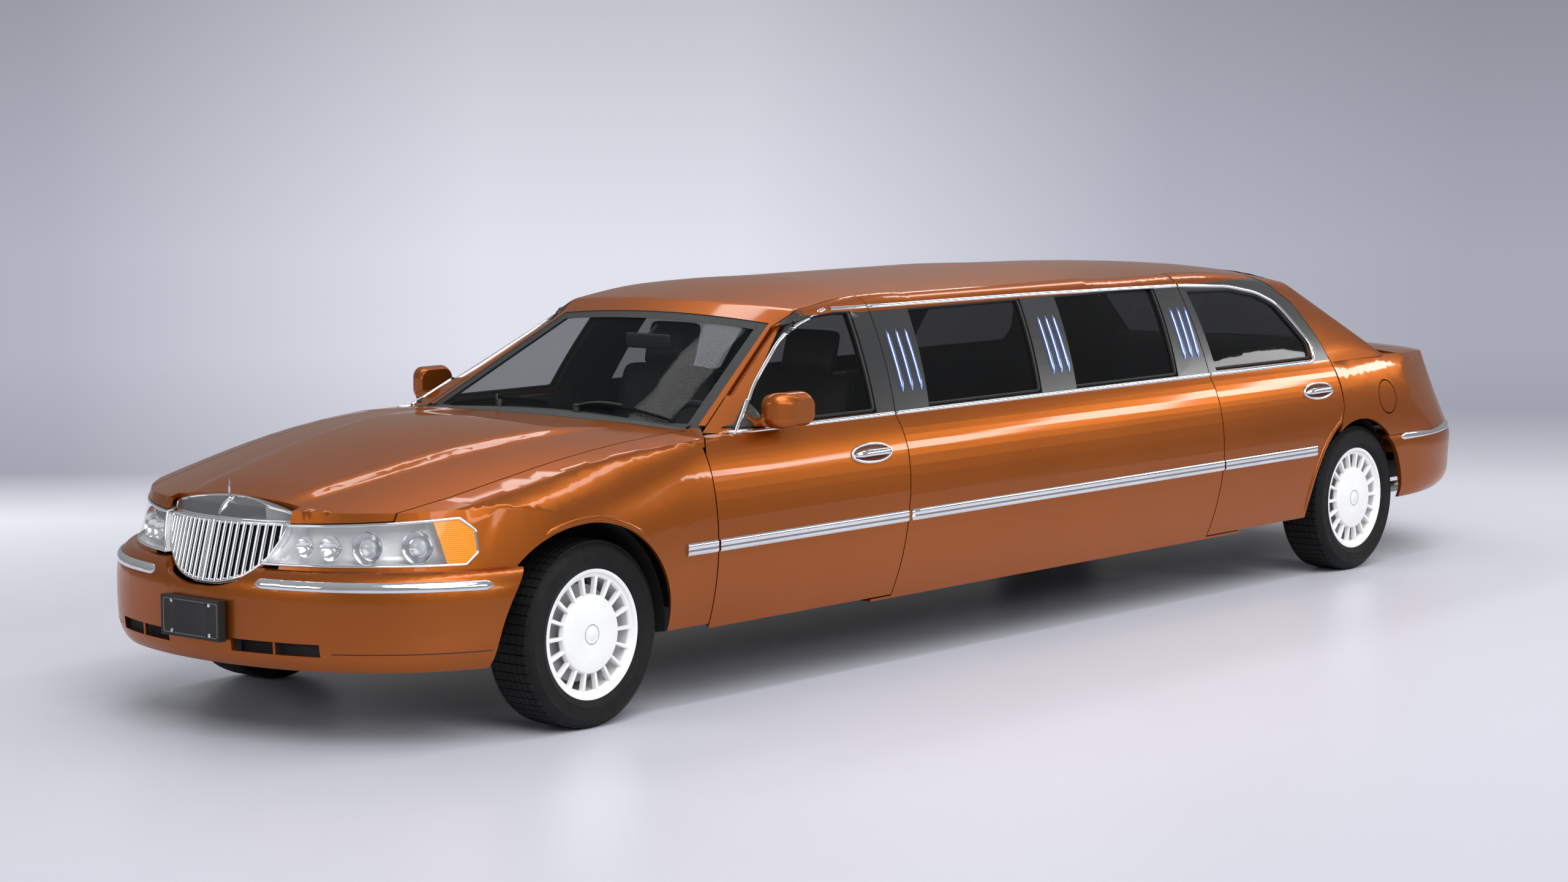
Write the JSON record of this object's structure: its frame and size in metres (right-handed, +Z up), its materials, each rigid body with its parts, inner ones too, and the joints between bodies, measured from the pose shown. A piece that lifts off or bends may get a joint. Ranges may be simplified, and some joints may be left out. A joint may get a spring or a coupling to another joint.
{
  "type": "stretch limousine",
  "caption": "Long-wheelbase stretched saloon car with a chrome grille, dark passenger windows, hinged doors, lids and steered wheels.",
  "frame": {"origin": "on the ground in the middle of the car's outer box", "axes": "-X is the nose, +X the tail, -Y the driver's side, +Z up"},
  "size_m": [7.6502, 2.04, 1.4841],
  "materials": {
    "body_paint": "metallic copper orange paint under clear lacquer",
    "pillar_satin": "dark grey satin cover",
    "dark_glass": "dark tinted glass",
    "clear_glass": "clear laminated glass",
    "lamp_lens": "clear lens",
    "red_lens": "red lens",
    "bright_chrome": "bright chrome",
    "header_satin": "satin grey",
    "black_plastic": "black moulded plastic",
    "white_wheel": "white painted alloy",
    "tyre_rubber": "black rubber",
    "frame_black": "black frame paint",
    "floor_paint": "dark underbody paint",
    "cast_metal": "cast metal",
    "exhaust_steel": "exhaust steel",
    "cabin_trim": "dark grained trim",
    "seat_leather": "grained leather",
    "liner_plastic": "black moulded liner"
  },
  "bodies": {
    "root": {"front_fenders": "body_paint", "cowl": "body_paint", "side_panels": "body_paint", "quarter_panels": "body_paint", "roof": "body_paint", "front_bumper": "body_paint", "rear_bumper": "body_paint", "pillars": "pillar_satin", "side_windows": "dark_glass", "rear_window": "dark_glass", "windshield": "clear_glass", "headlamps": "lamp_lens", "tail_lamps": "red_lens", "grille": "bright_chrome", "grille_header": "header_satin", "plate_bracket": "black_plastic", "front_suspension": "frame_black", "rear_axle": "frame_black", "driveshaft": "frame_black", "chassis_frame": "frame_black", "floor_pan": "floor_paint", "engine_block": "cast_metal", "exhaust_pipes": "exhaust_steel", "mufflers": "exhaust_steel", "tail_pipes": "exhaust_steel", "fuel_tank": "black_plastic", "dashboard": "cabin_trim", "front_seats": "seat_leather", "rear_bench": "seat_leather", "side_bench": "seat_leather", "wheel_liners": "liner_plastic"},
    "knuckle_left": {"knuckle_left": "frame_black"},
    "knuckle_right": {"knuckle_right": "frame_black"},
    "front_left_wheel": {"wheel_front_left": "white_wheel", "tyre_front_left": "tyre_rubber"},
    "front_right_wheel": {"wheel_front_right": "white_wheel", "tyre_front_right": "tyre_rubber"},
    "rear_left_wheel": {"wheel_rear_left": "white_wheel", "tyre_rear_left": "tyre_rubber"},
    "rear_right_wheel": {"wheel_rear_right": "white_wheel", "tyre_rear_right": "tyre_rubber"},
    "front_left_door": {"door_front_left": "body_paint", "door_front_left_glass": "dark_glass", "mirror_left": "body_paint"},
    "front_right_door": {"door_front_right": "body_paint", "door_front_right_glass": "dark_glass", "mirror_right": "body_paint"},
    "rear_left_door": {"door_rear_left": "body_paint", "door_rear_left_glass": "dark_glass"},
    "rear_right_door": {"door_rear_right": "body_paint", "door_rear_right_glass": "dark_glass"},
    "hood": {"hood": "body_paint"},
    "trunk_lid": {"trunk_lid": "body_paint"},
    "fuel_flap": {"fuel_flap": "body_paint"},
    "steering_wheel": {"steering_wheel": "cabin_trim"}
  },
  "joints": [
    {"name": "steer_left", "type": "hinge", "parent": "root", "child": "knuckle_left", "pos_m": [-2.76, -0.8025, 0.338], "axis": [0, 0, 1], "range_deg": [-30, 30]},
    {"name": "steer_right", "type": "hinge", "parent": "root", "child": "knuckle_right", "pos_m": [-2.76, 0.8025, 0.338], "axis": [0, 0, 1], "range_deg": [-30, 30]},
    {"name": "steering_wheel_turn", "type": "hinge", "parent": "root", "child": "steering_wheel", "pos_m": [-1.52, -0.375, 0.87], "axis": [0.9135, 0, 0.4067], "range_deg": [-450, 450]},
    {"name": "front_left_wheel_spin", "type": "hinge", "parent": "knuckle_left", "child": "front_left_wheel", "pos_m": [-2.76, -0.8225, 0.338], "axis": [0, -1, 0], "continuous": true},
    {"name": "front_right_wheel_spin", "type": "hinge", "parent": "knuckle_right", "child": "front_right_wheel", "pos_m": [-2.76, 0.8225, 0.338], "axis": [0, -1, 0], "continuous": true},
    {"name": "rear_left_wheel_spin", "type": "hinge", "parent": "root", "child": "rear_left_wheel", "pos_m": [2.4, -0.84, 0.338], "axis": [0, -1, 0], "continuous": true},
    {"name": "rear_right_wheel_spin", "type": "hinge", "parent": "root", "child": "rear_right_wheel", "pos_m": [2.4, 0.84, 0.338], "axis": [0, -1, 0], "continuous": true},
    {"name": "front_left_door_swing", "type": "hinge", "parent": "root", "child": "front_left_door", "pos_m": [-2.138, -0.993, 0.6], "axis": [0, 0, -1], "range_deg": [0, 65]},
    {"name": "front_right_door_swing", "type": "hinge", "parent": "root", "child": "front_right_door", "pos_m": [-2.138, 0.993, 0.6], "axis": [0, 0, 1], "range_deg": [0, 65]},
    {"name": "rear_left_door_swing", "type": "hinge", "parent": "root", "child": "rear_left_door", "pos_m": [1.25, -0.993, 0.6], "axis": [0, 0, -1], "range_deg": [0, 65]},
    {"name": "rear_right_door_swing", "type": "hinge", "parent": "root", "child": "rear_right_door", "pos_m": [1.25, 0.993, 0.6], "axis": [0, 0, 1], "range_deg": [0, 65]},
    {"name": "hood_lift", "type": "hinge", "parent": "root", "child": "hood", "pos_m": [-2.09, 0, 1.03], "axis": [0, 1, 0], "range_deg": [0, 50]},
    {"name": "trunk_lift", "type": "hinge", "parent": "root", "child": "trunk_lid", "pos_m": [2.915, 0, 1.03], "axis": [0, -1, 0], "range_deg": [0, 75]},
    {"name": "fuel_flap_swing", "type": "hinge", "parent": "root", "child": "fuel_flap", "pos_m": [2.55, -0.99, 0.8], "axis": [0, 0, -1], "range_deg": [0, 90]}
  ],
  "couplings": [
    {"joint": "steer_right", "follows": "steer_left", "ratio": 1},
    {"joint": "steering_wheel_turn", "follows": "steer_left", "ratio": 15}
  ]
}
